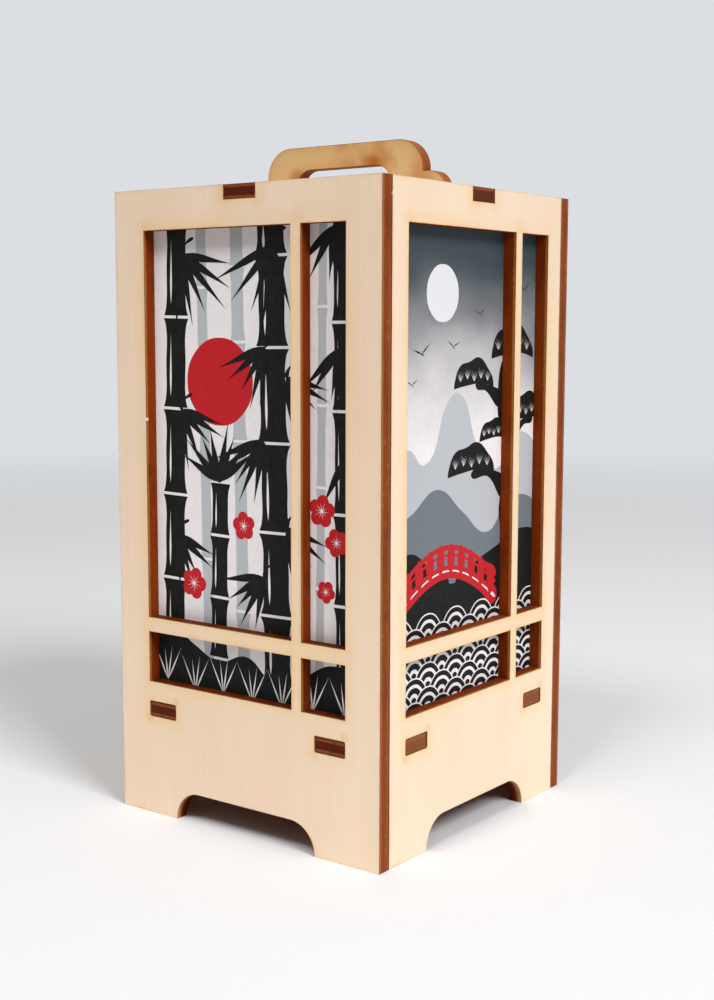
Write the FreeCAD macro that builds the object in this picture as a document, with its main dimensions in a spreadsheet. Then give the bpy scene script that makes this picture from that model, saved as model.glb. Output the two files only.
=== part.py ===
import FreeCAD, Part
import math
import os
import re

import Sketcher

# Andon lamp of laser-cut plywood: four lattice panels stand round a shelf and under a lid, joined by
# tabs in slots and notches, with a paper behind each panel's windows and a small battery light inside.
# Millimetres, +Z up, origin on the table at the lamp's middle, front panel towards -Y.

doc = FreeCAD.newDocument("andon_lamp")

sizes = {
    # case
    "panel_height": 200,
    "panel_width": 104.5,
    "ply": 4.5,
    "corner_gap": 0.4,
    "board_play": 0.15,
    # windows
    "border": 12.5,
    "top_rail": 12.5,
    "sill": 43.8,
    "low_pane": 16.4,
    "cross_bar": 4.65,
    "mullion": 3.75,
    "narrow_pane": 16.5,
    # tabs, slots and notches
    "shelf_height": 32.4,
    "slot_width": 11.5,
    "slot_play": 0.5,
    "slot_seat": 0.1,
    "slot_side_play": 0.3,
    "slot_round_share": 2,
    "notch_width": 12.6,
    "tab_play": 0.15,
    "tab_recess": 0.3,
    "loose_play": 0.6,
    # feet
    "arch_height": 9.6,
    "arch_round_share": 0.98,
    # paper
    "paper_lap": 4,
    "paper_thickness": 0.25,
    # handle
    "handle_width": 62.6,
    "handle_height": 16.1,
    "handle_bar": 7.4,
    "handle_round_share": 0.92,
    "grip_width": 37.8,
    "grip_round_share": 0.66,
    "lobe_reach": 8.2,
    "lobe_height": 5.9,
    "lobe_round_share": 0.97,
    "tenon_width": 8,
    # light casing
    "light_radius": 19,
    "shell_height": 18.5,
    "shell_wall": 1.3,
    "shell_bevel": 1.2,
    "rim_width": 3.2,
    "dish_depth": 2,
    "dish_run": 3,
    "finger_hole": 16,
    "floor_thickness": 2.4,
    "floor_play": 0.15,
    # flame
    "flame_radius": 6.2,
    "flame_play": 0.2,
    "flame_height": 22,
    "flame_tip": 0.5,
    "flange_reach": 1.6,
    "flange_thickness": 1.2,
    # light source
    "led_radius": 2.5,
    "led_height": 8.6,
    "led_dome": 2,
    "led_dome_share": 0.4,
    "led_rim": 0.4,
    "led_rim_thickness": 1,
    "led_play": 0.15,
    "lead_radius": 0.3,
    "lead_pitch": 2.54,
    # coin cell, its well, door and contacts
    "cell_radius": 10,
    "cell_thickness": 3.2,
    "cell_bevel": 0.4,
    "can_height": 2.7,
    "cap_radius": 8.7,
    "cell_offset": 4,
    "cell_play": 0.25,
    "well_wall": 1,
    "door_thickness": 1.2,
    "door_ledge": 1,
    "door_play": 0.15,
    "lug_width": 6,
    "lug_reach": 3.2,
    "contact_thickness": 0.4,
    "contact_width": 4,
    "contact_lift": 2.2,
    "screw_radius": 0.8,
    "screw_head": 1.5,
    "screw_head_depth": 0.7,
    "screw_length": 3.2,
    "screw_play": 0.1,
    "boss_wall": 1,
    # switch
    "knob_width": 2.6,
    "knob_length": 3.2,
    "knob_reach": 0.8,
    "knob_offset": 11.5,
    "switch_travel": 2.5,
    "switch_play": 0.12,
    "slider_lip": 0.9,
    "slider_lip_thickness": 0.8,
    # length by which cuts run past the face they leave
    "overrun": 1,
}

# Flame's outline above its seat: shares of its radius and of its height, from belly to tip
flame_shares = [(1, 0.28), (0.94, 0.46), (0.78, 0.64), (0.52, 0.81), (0.24, 0.94)]

sheet = doc.addObject("Spreadsheet::Sheet", "dims")
for row, (name, number) in enumerate(sizes.items(), start=1):
    sheet.set(f"A{row}", name)
    sheet.set(f"B{row}", str(number))
    sheet.setAlias(f"B{row}", name)
doc.recompute()


def bound(text):
    return re.sub(r"[a-z]\w*", r"dims.\g<0>", text)


def value(text):
    return float(sheet.evalExpression(text))


def new_body(label):
    body = doc.addObject("PartDesign::Body", label)
    body.Label = label
    return body


def new_sketch(body, name, role):
    plane = next(f for f in body.Origin.OriginFeatures if f.Role == role)
    sketch = body.newObject("Sketcher::SketchObject", f"{body.Name}_{name}")
    sketch.AttachmentSupport = [(plane, "")]
    sketch.MapMode = "FlatFace"
    return sketch


def constrain(sketch, constraint, name, text):
    index = sketch.addConstraint(constraint)
    sketch.renameConstraint(index, name)
    sketch.setExpression(f"Constraints.{name}", bound(text))


# Holds a point of the sketch at a place given by two expressions.
def hold(sketch, name, geo, end, x, y):
    for kind, text, axis in (("X", x, -2), ("Y", y, -1)):
        number = value(text)
        if number == 0:
            sketch.addConstraint(Sketcher.Constraint("PointOnObject", geo, end, axis))
        elif number > 0:
            away = Sketcher.Constraint(f"Distance{kind}", -1, 1, geo, end, number)
            constrain(sketch, away, f"{name}_{kind}", text)
        else:
            back = Sketcher.Constraint(f"Distance{kind}", geo, end, -1, 1, -number)
            constrain(sketch, back, f"{name}_{kind}", f"-({text})")


# Draws a closed outline through corners (x, y) or (x, y, radius), each an expression of the sizes.
def outline(sketch, tag, corners):
    points = [FreeCAD.Vector(value(c[0]), value(c[1]), 0) for c in corners]
    count = len(points)
    enter, leave, arcs = {}, {}, {}
    for i, corner in enumerate(corners):
        here = points[i]
        if len(corner) == 2:
            enter[i] = leave[i] = here
            continue
        back = (points[i - 1] - here).normalize()
        ahead = (points[(i + 1) % count] - here).normalize()
        half = back.getAngle(ahead) / 2
        radius = value(corner[2])
        enter[i] = here + back * (radius / math.tan(half))
        leave[i] = here + ahead * (radius / math.tan(half))
        middle = here + (back + ahead).normalize() * (radius / math.sin(half))
        turns_left = back.cross(ahead).z < 0
        ends = (enter[i], leave[i]) if turns_left else (leave[i], enter[i])
        angles = [math.atan2(p.y - middle.y, p.x - middle.x) for p in ends]
        circle = Part.Circle(middle, FreeCAD.Vector(0, 0, 1), radius)
        arcs[i] = (Part.ArcOfCircle(circle, *angles), turns_left)
    lines = [
        sketch.addGeometry(Part.LineSegment(leave[i], enter[(i + 1) % count]), False)
        for i in range(count)
    ]
    for i, corner in enumerate(corners):
        before, after = lines[i - 1], lines[i]
        name = f"{tag}{i}"
        if i not in arcs:
            sketch.addConstraint(Sketcher.Constraint("Coincident", before, 2, after, 1))
            hold(sketch, name, after, 1, corner[0], corner[1])
            continue
        shape, turns_left = arcs[i]
        arc = sketch.addGeometry(shape, False)
        first, last = (1, 2) if turns_left else (2, 1)
        tip = sketch.addGeometry(Part.Point(points[i]), True)
        sketch.addConstraint(
            [
                Sketcher.Constraint("Tangent", before, 2, arc, first),
                Sketcher.Constraint("Tangent", arc, last, after, 1),
                Sketcher.Constraint("PointOnObject", tip, 1, before),
                Sketcher.Constraint("PointOnObject", tip, 1, after),
            ]
        )
        constrain(sketch, Sketcher.Constraint("Radius", arc, shape.Radius), f"{name}_R", corner[2])
        hold(sketch, name, tip, 1, corner[0], corner[1])


def circle(sketch, tag, x, y, radius):
    middle = FreeCAD.Vector(value(x), value(y), 0)
    ring = Part.Circle(middle, FreeCAD.Vector(0, 0, 1), value(radius))
    geo = sketch.addGeometry(ring, False)
    constrain(sketch, Sketcher.Constraint("Radius", geo, value(radius)), f"{tag}_R", radius)
    hold(sketch, tag, geo, 3, x, y)


def rectangle(left, bottom, width, height):
    right = f"({left}) + ({width})"
    top = f"({bottom}) + ({height})"
    return [(left, bottom), (right, bottom), (right, top), (left, top)]


def rounded(left, bottom, width, height, radius):
    return [(*corner, radius) for corner in rectangle(left, bottom, width, height)]


# A rectangle whose two upper corners are round.
def round_topped(left, bottom, width, height, radius):
    low_left, low_right, high_right, high_left = rectangle(left, bottom, width, height)
    return [low_left, low_right, (*high_right, radius), (*high_left, radius)]


def pad(body, sketch, length, backwards=False):
    feature = body.newObject("PartDesign::Pad", f"{sketch.Name}_pad")
    feature.Profile = sketch
    feature.Reversed = backwards
    feature.setExpression("Length", bound(length))
    doc.recompute()
    return feature


def pocket(body, sketch, length=None, backwards=False):
    before = body.Shape.Volume
    feature = body.newObject("PartDesign::Pocket", f"{sketch.Name}_pocket")
    feature.Profile = sketch
    feature.Reversed = backwards
    if length:
        feature.setExpression("Length", bound(length))
    else:
        feature.Type = "ThroughAll"
    doc.recompute()
    if not body.Shape.Volume < before:
        raise RuntimeError(f"{feature.Name} cuts nothing")
    return feature


def revolve(label, corners):
    body = new_body(label)
    sketch = new_sketch(body, "profile", "XZ_Plane")
    outline(sketch, "p", corners)
    feature = body.newObject("PartDesign::Revolution", f"{label}_turned")
    feature.Profile = sketch
    feature.ReferenceAxis = (sketch, ["V_Axis"])
    doc.recompute()
    return body


# Puts a piece at (x, y, z), then turns it about the lamp's upright axis.
def place(piece, x, y, z, turn=0):
    across = round(math.cos(math.radians(turn)))
    along = round(math.sin(math.radians(turn)))
    spin = FreeCAD.Rotation(FreeCAD.Vector(0, 0, 1), turn)
    piece.Placement = FreeCAD.Placement(FreeCAD.Vector(0, 0, 0), spin)
    piece.setExpression("Placement.Base.x", bound(f"{across} * ({x}) - {along} * ({y})"))
    piece.setExpression("Placement.Base.y", bound(f"{along} * ({x}) + {across} * ({y})"))
    piece.setExpression("Placement.Base.z", bound(z))
    doc.recompute()


# Sizes that several pieces share
panel_depth = "(panel_width + 2 * corner_gap)"
side_width = "(panel_width - 2 * ply)"
window_width = "(panel_width - 2 * border)"
window_height = "(panel_height - top_rail - sill)"
shelf_top = "(shelf_height + ply)"
lid_bottom = "(panel_height - ply)"
tab_centre = "((panel_width - 2 * border - slot_width) / 2)"


# Outer face on the sketch plane, inner face one ply behind it, left lower corner at the sketch's origin.
# A loose panel has play under the tabs too, so that it can tip out.
def make_panel(label, width, reach, turn, play_below="0"):
    body = new_body(label)
    blank = new_sketch(body, "blank", "XZ_Plane")
    outline(blank, "edge", rectangle("0", "0", width, "panel_height"))
    pad(body, blank, "ply", backwards=True)

    cuts = new_sketch(body, "cuts", "XZ_Plane")
    stile = f"(({width} - {window_width}) / 2)"
    wide_pane = f"({window_width} - mullion - narrow_pane)"
    narrow_left = f"({stile} + {wide_pane} + mullion)"
    high_bottom = "(sill + low_pane + cross_bar)"
    high_pane = f"({window_height} - low_pane - cross_bar)"
    outline(cuts, "wide_low", rectangle(stile, "sill", wide_pane, "low_pane"))
    outline(cuts, "wide_high", rectangle(stile, high_bottom, wide_pane, high_pane))
    outline(cuts, "narrow_low", rectangle(narrow_left, "sill", "narrow_pane", "low_pane"))
    outline(cuts, "narrow_high", rectangle(narrow_left, high_bottom, "narrow_pane", high_pane))

    slot_bottom = f"(shelf_height - slot_seat - {play_below})"
    slot_height = f"(ply + slot_seat + slot_play + {play_below})"
    slot_round = "slot_side_play * slot_round_share"
    right_slot = f"({stile} + {window_width} - slot_width)"
    for tag, left in (("slot_left", stile), ("slot_right", right_slot)):
        outline(cuts, tag, rounded(left, slot_bottom, "slot_width", slot_height, slot_round))

    notch_left = f"(({width} - notch_width) / 2)"
    notch_bottom = f"({lid_bottom} - {play_below})"
    notch_height = f"(ply + overrun + {play_below})"
    outline(cuts, "notch", rectangle(notch_left, notch_bottom, "notch_width", notch_height))

    arch_left = f"({stile} + slot_width)"
    arch_width = f"({window_width} - 2 * slot_width)"
    arch = round_topped(
        arch_left, "-overrun", arch_width, "arch_height + overrun", "arch_height * arch_round_share"
    )
    outline(cuts, "arch", arch)
    pocket(body, cuts)
    place(body, f"-{width} / 2", f"-{reach}", "0", turn)
    return body


# Sheet stuck to the inner face of a panel, lapping its windows all round
def make_paper(label, reach, turn):
    paper = doc.addObject("Part::Box", label)
    paper.Label = label
    width = f"({window_width} + 2 * paper_lap)"
    paper.setExpression("Length", bound(width))
    paper.setExpression("Width", bound("paper_thickness"))
    paper.setExpression("Height", bound(f"{window_height} + 2 * paper_lap"))
    place(paper, f"-{width} / 2", f"-{reach} + ply", "sill - paper_lap", turn)
    return paper


# A board that fits between the four panels and sends tabs through them: strips as long as the lamp
# is wide or deep cross the plate, one centred on each of the given offsets.
def make_board(label, offsets, tab_width, level):
    body = new_body(label)
    plate = new_sketch(body, "plate", "XY_Plane")
    across = f"({side_width} - 2 * board_play)"
    along = f"({panel_depth} - 2 * ply - 2 * board_play)"
    outline(plate, "edge", rectangle(f"-{across} / 2", f"-{along} / 2", across, along))
    pad(body, plate, "ply")
    wide = "(panel_width - 2 * tab_recess)"
    deep = f"({panel_depth} - 2 * tab_recess)"
    strips = new_sketch(body, "strips_across", "XY_Plane")
    for i, offset in enumerate(offsets):
        low = f"{offset} - {tab_width} / 2"
        outline(strips, f"strip{i}_", rectangle(f"-{wide} / 2", low, wide, tab_width))
    pad(body, strips, "ply")
    strips = new_sketch(body, "strips_along", "XY_Plane")
    for i, offset in enumerate(offsets):
        low = f"{offset} - {tab_width} / 2"
        outline(strips, f"strip{i}_", rectangle(low, f"-{deep} / 2", tab_width, deep))
    pad(body, strips, "ply")
    place(body, "0", "0", level)
    return body


half_depth = f"{panel_depth} / 2"
half_width = "panel_width / 2"
pieces = [
    make_panel("front_panel", "panel_width", half_depth, 0),
    make_panel("right_panel", side_width, half_width, 90),
    make_panel("back_panel", "panel_width", half_depth, 180),
    make_panel("left_panel", side_width, half_width, 270, "loose_play"),
    make_paper("front_paper", half_depth, 0),
    make_paper("right_paper", half_width, 90),
    make_paper("back_paper", half_depth, 180),
    make_paper("left_paper", half_width, 270),
]

# Shelf, with a hole under the light for a finger to reach its switch and its battery door
shelf_tab = "(slot_width - 2 * slot_side_play)"
shelf = make_board("shelf", [f"-{tab_centre}", tab_centre], shelf_tab, "shelf_height")
hole = new_sketch(shelf, "hole", "XY_Plane")
circle(hole, "hole", "0", "0", "finger_hole")
pocket(shelf, hole, backwards=True)
pieces.append(shelf)

# Lid, with two mortises for the handle's tenons
lid = make_board("lid", ["0"], "(notch_width - 2 * tab_play)", lid_bottom)
mortises = new_sketch(lid, "mortises", "XY_Plane")
tenon_centre = "((handle_width + grip_width) / 4)"
mortise_width = "(tenon_width + 2 * tab_play)"
mortise_depth = "(ply + 2 * board_play)"
for tag, centre in (("left", f"-{tenon_centre}"), ("right", tenon_centre)):
    near_side = f"{centre} - {mortise_width} / 2"
    outline(mortises, tag, rectangle(near_side, f"-{mortise_depth} / 2", mortise_width, mortise_depth))
pocket(lid, mortises, backwards=True)
pieces.append(lid)


# Handle: one flat profile, drawn round its right half and mirrored, feet on the lid at height zero
def make_handle():
    body = new_body("handle")
    sketch = new_sketch(body, "profile", "XZ_Plane")
    side = "(handle_width / 2)"
    grip_side = "(grip_width / 2)"
    grip_top = "(handle_height - handle_bar)"
    toe = f"({side} + lobe_reach)"
    tenon_near = f"({tenon_centre} - tenon_width / 2)"
    tenon_far = f"({tenon_centre} + tenon_width / 2)"
    top_round = "(handle_height - lobe_height) * handle_round_share"
    right_half = [
        (grip_side, grip_top, f"{grip_top} * grip_round_share"),
        (grip_side, "0"),
        (tenon_near, "0"),
        (tenon_near, "-ply"),
        (tenon_far, "-ply"),
        (tenon_far, "0"),
        (toe, "0"),
        (toe, "lobe_height", "lobe_height * lobe_round_share"),
        (side, "lobe_height"),
        (side, "handle_height", top_round),
    ]
    left_half = [(f"-{x}", *rest) for x, *rest in reversed(right_half)]
    outline(sketch, "edge", right_half + left_half)
    pad(body, sketch, "ply", backwards=True)
    place(body, "0", "-ply / 2", "panel_height")
    return body


pieces.append(make_handle())

# Heights inside the light, from the shelf up
plate_top = "(shell_height - dish_depth)"
plate_bottom = f"({plate_top} - shell_wall)"
flange_bottom = f"({plate_bottom} - flange_thickness)"
led_bottom = f"({flange_bottom} - led_rim_thickness)"
cell_top = "(door_thickness + cell_thickness)"
contact_top = f"({cell_top} + contact_thickness)"
arm_top = f"({contact_top} + contact_lift)"


def make_light_shell():
    inside = "(light_radius - shell_wall)"
    collar = "(flame_radius + flame_play)"
    lip = "(light_radius - rim_width)"
    corners = [
        ("light_radius", "0"),
        ("light_radius", "shell_height - shell_bevel"),
        ("light_radius - shell_bevel", "shell_height"),
        (lip, "shell_height"),
        (f"{lip} - dish_run", plate_top),
        (collar, plate_top),
        (collar, plate_bottom),
        (inside, plate_bottom),
        (inside, "0"),
    ]
    return revolve("light_shell", corners)


# Hollow flame that hangs by its flange under the shell's top, with a bore for the light source
def make_flame_lens():
    flange = "(flame_radius + flange_reach)"
    bore = "(led_radius + led_play)"
    bore_top = f"({led_bottom} + led_height + led_rim_thickness)"
    taper = [
        (f"flame_radius * {across}", f"{plate_top} + flame_height * {up}") for across, up in flame_shares
    ]
    corners = [
        (bore, flange_bottom),
        (flange, flange_bottom),
        (flange, plate_bottom),
        ("flame_radius", plate_bottom),
        *taper,
        ("flame_tip", f"{plate_top} + flame_height"),
        ("0", f"{plate_top} + flame_height"),
        ("0", bore_top),
        (bore, bore_top),
    ]
    return revolve("flame_lens", corners)


def make_led():
    rim = "(led_radius + led_rim)"
    top = f"({led_bottom} + led_height)"
    corners = [
        ("0", led_bottom),
        (rim, led_bottom),
        (rim, flange_bottom),
        ("led_radius", flange_bottom),
        ("led_radius", f"{top} - led_dome"),
        ("led_radius * led_dome_share", top),
        ("0", top),
    ]
    return revolve("led", corners)


# Two wires from the light source down to the contacts
def make_led_leads():
    wires = []
    near = ("near_lead", "-lead_pitch / 2", contact_top)
    far = ("far_lead", "lead_pitch / 2", arm_top)
    for label, x, foot in (near, far):
        wire = doc.addObject("Part::Cylinder", label)
        wire.setExpression("Radius", bound("lead_radius"))
        wire.setExpression("Height", bound(f"{led_bottom} - {foot}"))
        place(wire, x, "0", foot)
        wires.append(wire)
    leads = doc.addObject("Part::Compound", "led_leads")
    leads.Label = "led_leads"
    leads.Links = wires
    doc.recompute()
    return leads


# Shapes seen from above that the floor's cuts and the door share, grown by a clearance
well = "(cell_radius + cell_play)"
lug_end = f"({well} + door_ledge + lug_reach)"
screw_y = f"({well} + door_ledge + lug_reach / 2)"


def lug(grow):
    width = f"(lug_width + 2 * {grow})"
    return rectangle(f"-cell_offset - {width} / 2", "0", width, f"{lug_end} + {grow}")


def make_light_floor():
    body = new_body("light_floor")
    disc = new_sketch(body, "disc", "XY_Plane")
    circle(disc, "disc", "0", "0", "light_radius - shell_wall - floor_play")
    pad(body, disc, "floor_thickness")
    walls = new_sketch(body, "walls", "XY_Plane")
    circle(walls, "well", "-cell_offset", "0", f"{well} + well_wall")
    circle(walls, "boss", "-cell_offset", screw_y, "screw_radius + screw_play + boss_wall")
    pad(body, walls, cell_top)

    opening = new_sketch(body, "opening", "XY_Plane")
    circle(opening, "well", "-cell_offset", "0", well)
    pocket(body, opening, backwards=True)
    rebate = new_sketch(body, "rebate", "XY_Plane")
    circle(rebate, "rebate", "-cell_offset", "0", f"{well} + door_ledge")
    pocket(body, rebate, "door_thickness", backwards=True)
    tongue = new_sketch(body, "tongue", "XY_Plane")
    outline(tongue, "lug", lug("0"))
    pocket(body, tongue, "door_thickness", backwards=True)

    holes = new_sketch(body, "holes", "XY_Plane")
    circle(holes, "screw", "-cell_offset", screw_y, "screw_radius + screw_play")
    slot_width = "(knob_width + 2 * switch_play)"
    slot_length = "(knob_length + switch_travel + 2 * switch_play)"
    slot = rectangle(f"knob_offset - {slot_width} / 2", f"-{slot_length} / 2", slot_width, slot_length)
    outline(holes, "slot", slot)
    groove_width = "(contact_width + 2 * cell_play)"
    groove_depth = "(contact_thickness + cell_play)"
    groove_left = "(cell_radius - cell_offset)"
    outline(holes, "groove", rectangle(groove_left, f"-{groove_width} / 2", groove_depth, groove_width))
    pocket(body, holes, backwards=True)
    return body


def make_battery_door():
    body = new_body("battery_door")
    disc = new_sketch(body, "disc", "XY_Plane")
    circle(disc, "disc", "-cell_offset", "0", f"{well} + door_ledge - door_play")
    pad(body, disc, "door_thickness")
    tongue = new_sketch(body, "tongue", "XY_Plane")
    outline(tongue, "lug", lug("-door_play"))
    pad(body, tongue, "door_thickness")
    hole = new_sketch(body, "hole", "XY_Plane")
    circle(hole, "shank", "-cell_offset", screw_y, "screw_radius + screw_play")
    pocket(body, hole, backwards=True)
    seat = new_sketch(body, "seat", "XY_Plane")
    circle(seat, "head", "-cell_offset", screw_y, "screw_head + screw_play")
    pocket(body, seat, "screw_head_depth", backwards=True)
    return body


def make_door_screw():
    end = "(screw_head_depth + screw_length)"
    corners = [
        ("0", "0"),
        ("screw_head", "0"),
        ("screw_head", "screw_head_depth"),
        ("screw_radius", "screw_head_depth"),
        ("screw_radius", f"{end} - screw_radius"),
        ("0", end),
    ]
    return revolve("door_screw", corners)


# Can below, with its rim turned over a smaller cap
def make_coin_cell():
    corners = [
        ("0", "0"),
        ("cell_radius - cell_bevel", "0"),
        ("cell_radius", "cell_bevel"),
        ("cell_radius", "can_height"),
        ("cap_radius", "can_height"),
        ("cap_radius", "cell_thickness"),
        ("0", "cell_thickness"),
    ]
    return revolve("coin_cell", corners)


# Strip across the cell's top, from the well's wall to the near lead
def make_top_contact():
    body = new_body("top_contact")
    sketch = new_sketch(body, "strip", "XY_Plane")
    start = f"(-cell_offset - {well} - well_wall)"
    length = f"(-lead_pitch / 2 + lead_radius + contact_thickness - {start})"
    outline(sketch, "strip", rectangle(start, "-contact_width / 2", length, "contact_width"))
    pad(body, sketch, "contact_thickness")
    return body


# Angle whose leg touches the cell's side and whose arm reaches the far lead
def make_side_contact():
    body = new_body("side_contact")
    sketch = new_sketch(body, "angle", "XZ_Plane")
    leg = "(cell_radius - cell_offset)"
    back = f"({leg} + contact_thickness)"
    arm = "(lead_pitch / 2 - lead_radius - contact_thickness)"
    arm_bottom = f"({arm_top} - contact_thickness)"
    corners = [
        (leg, "door_thickness"),
        (back, "door_thickness"),
        (back, arm_top),
        (arm, arm_top),
        (arm, arm_bottom),
        (leg, arm_bottom),
    ]
    outline(sketch, "edge", corners)
    pad(body, sketch, "contact_width", backwards=True)
    return body


# Knob through the floor's slot, hung by a lip; drawn at the end of its travel towards -Y
def make_switch_slider():
    body = new_body("switch_slider")
    lip = new_sketch(body, "lip", "XY_Plane")
    width = "(knob_width + 2 * slider_lip)"
    length = "(knob_length + 2 * slider_lip)"
    outline(lip, "lip", rectangle(f"-{width} / 2", f"-{length} / 2", width, length))
    pad(body, lip, "slider_lip_thickness")
    knob = new_sketch(body, "knob", "XY_Plane")
    outline(knob, "knob", rectangle("-knob_width / 2", "-knob_length / 2", "knob_width", "knob_length"))
    pad(body, knob, "floor_thickness + switch_play + knob_reach", backwards=True)
    return body


light = [make_light_shell(), make_flame_lens(), make_led(), make_light_floor(), make_battery_door()]
for piece in light:
    place(piece, "0", "0", shelf_top)
leads = make_led_leads()
place(leads, "0", "0", shelf_top)
screw = make_door_screw()
place(screw, "-cell_offset", screw_y, shelf_top)
cell = make_coin_cell()
place(cell, "-cell_offset", "0", f"{shelf_top} + door_thickness")
top_contact = make_top_contact()
place(top_contact, "0", "0", f"{shelf_top} + {cell_top}")
side_contact = make_side_contact()
place(side_contact, "0", "-contact_width / 2", shelf_top)
slider = make_switch_slider()
place(slider, "knob_offset", "-switch_travel / 2", f"{shelf_top} + floor_thickness + switch_play")
pieces += light + [leads, screw, cell, top_contact, side_contact, slider]

doc.recompute()
for thing in doc.Objects:
    if "Invalid" in thing.State or "Error" in thing.State:
        raise RuntimeError(f"{thing.Name} did not build")
for piece in pieces:
    if piece.Shape.isNull() or not piece.Shape.isValid():
        raise RuntimeError(f"{piece.Label} has no valid shape")

os.makedirs("parts", exist_ok=True)
for piece in pieces:
    piece.Shape.exportStep(f"parts/{piece.Label}.step")
    print(piece.Label, len(piece.Shape.Solids), "solids", round(piece.Shape.Volume, 1), "mm3")
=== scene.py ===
import math
import random
import bpy
from mathutils import Matrix, Vector


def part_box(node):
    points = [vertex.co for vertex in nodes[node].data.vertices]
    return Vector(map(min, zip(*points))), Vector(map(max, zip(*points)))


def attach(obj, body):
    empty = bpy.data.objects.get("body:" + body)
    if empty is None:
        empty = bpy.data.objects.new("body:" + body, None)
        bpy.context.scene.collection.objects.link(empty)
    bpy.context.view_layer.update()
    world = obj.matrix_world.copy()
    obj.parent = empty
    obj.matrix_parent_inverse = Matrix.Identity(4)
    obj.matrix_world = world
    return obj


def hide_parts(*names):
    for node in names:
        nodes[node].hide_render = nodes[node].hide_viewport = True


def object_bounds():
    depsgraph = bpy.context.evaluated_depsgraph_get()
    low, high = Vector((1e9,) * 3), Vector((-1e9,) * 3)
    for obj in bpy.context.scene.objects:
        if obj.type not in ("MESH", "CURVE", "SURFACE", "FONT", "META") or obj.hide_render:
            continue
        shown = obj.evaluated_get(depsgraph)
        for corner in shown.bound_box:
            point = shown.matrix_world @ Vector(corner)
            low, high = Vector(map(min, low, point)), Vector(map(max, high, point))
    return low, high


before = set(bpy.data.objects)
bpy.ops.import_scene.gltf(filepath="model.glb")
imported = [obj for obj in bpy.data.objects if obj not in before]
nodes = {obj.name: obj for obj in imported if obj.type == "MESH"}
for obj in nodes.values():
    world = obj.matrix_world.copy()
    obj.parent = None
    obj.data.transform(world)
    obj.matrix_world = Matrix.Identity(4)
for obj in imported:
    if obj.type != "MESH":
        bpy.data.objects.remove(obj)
cadLow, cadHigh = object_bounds()    # the CAD box, before anything is dressed
scene = bpy.context.scene
mm = 0.001


# Picking and shaping
def deselectAll():
    if bpy.context.object and bpy.context.object.mode != "OBJECT":
        bpy.ops.object.mode_set(mode="OBJECT")
    bpy.ops.object.select_all(action="DESELECT")


def makeActive(*pieces):
    deselectAll()
    for piece in pieces:
        piece.select_set(True)
    bpy.context.view_layer.objects.active = pieces[0]


def editAll(piece):
    makeActive(piece)
    bpy.ops.object.mode_set(mode="EDIT")
    bpy.ops.mesh.select_all(action="SELECT")


def addModifier(piece, kind, **settings):
    makeActive(piece)
    modifier = piece.modifiers.new(kind.lower(), kind)
    for key, value in settings.items():
        setattr(modifier, key, value)
    bpy.ops.object.modifier_apply(modifier=modifier.name)


def applyPlace(piece):
    makeActive(piece)
    bpy.ops.object.transform_apply(location=True, rotation=True, scale=True)


def smoothBelow(piece, degrees):
    makeActive(piece)
    bpy.ops.object.shade_smooth_by_angle(angle=math.radians(degrees))


# Node trees
def srgb(red, green, blue):
    parts = [value / 255 for value in (red, green, blue)]
    linear = [p / 12.92 if p < 0.04045 else ((p + 0.055) / 1.055) ** 2.4 for p in parts]
    return (*linear, 1)


def addNode(tree, kind, **settings):
    node = tree.nodes.new("ShaderNode" + kind)
    for key, value in settings.items():
        setattr(node, key, value)
    return node


def feed(socket, value):
    if isinstance(value, bpy.types.NodeSocket):
        socket.id_data.links.new(value, socket)
    else:
        socket.default_value = value


def feedAll(sockets, values):
    for socket, value in zip(sockets, values):
        feed(socket, value)


def treeOf(values):
    # a node joins the tree that its inputs are in
    return next(value.id_data for value in values if isinstance(value, bpy.types.NodeSocket))


def mathNode(operation, *values, clamp=False):
    node = addNode(treeOf(values), "Math", operation=operation, use_clamp=clamp)
    feedAll(node.inputs, values)
    return node.outputs[0]


def times(first, second):
    return mathNode("MULTIPLY", first, second)


def vectorNode(operation, *values):
    node = addNode(treeOf(values), "VectorMath", operation=operation)
    feedAll(node.inputs, values)
    return node.outputs["Value" if operation == "LENGTH" else "Vector"]


def stretched(vector, scale):
    return vectorNode("MULTIPLY", vector, scale)


def noiseNode(vector, scale, detail=2.0, roughness=0.5):
    node = addNode(vector.id_data, "TexNoise")
    sockets = [node.inputs[name] for name in ("Vector", "Scale", "Detail", "Roughness")]
    feedAll(sockets, (vector, scale, detail, roughness))
    return node.outputs[0]


def rangeNode(value, low, high, toLow=0.0, toHigh=1.0):
    node = addNode(value.id_data, "MapRange", interpolation_type="SMOOTHSTEP")
    feedAll(node.inputs, (value, low, high, toLow, toHigh))
    return node.outputs[0]


def mixNode(factor, first, second):
    node = addNode(factor.id_data, "Mix", data_type="RGBA")
    feedAll((node.inputs[0], node.inputs[6], node.inputs[7]), (factor, first, second))
    return node.outputs[2]


def tint(color, tone, mask, share):
    return mixNode(times(mask, share), color, tone)


def axesOf(vector):
    node = addNode(vector.id_data, "SeparateXYZ")
    feed(node.inputs[0], vector)
    return node.outputs


def objectPlace(tree):
    return addNode(tree, "TexCoord").outputs["Object"]


def newGroup(name, inputs, outputs):
    tree = bpy.data.node_groups.new(name, "ShaderNodeTree")
    for label in inputs.split():
        kind = "NodeSocketVector" if label in ("Vector", "Middle", "Stretch") else "NodeSocketFloat"
        tree.interface.new_socket(label, in_out="INPUT", socket_type=kind)
    for label in outputs.split():
        tree.interface.new_socket(label, in_out="OUTPUT", socket_type="NodeSocketFloat")
    return tree, tree.nodes.new("NodeGroupInput").outputs, tree.nodes.new("NodeGroupOutput").inputs


def useGroup(tree, group, **values):
    node = tree.nodes.new("ShaderNodeGroup")
    node.node_tree = group
    for name, value in values.items():
        feed(node.inputs[name], value)
    return node.outputs


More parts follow.
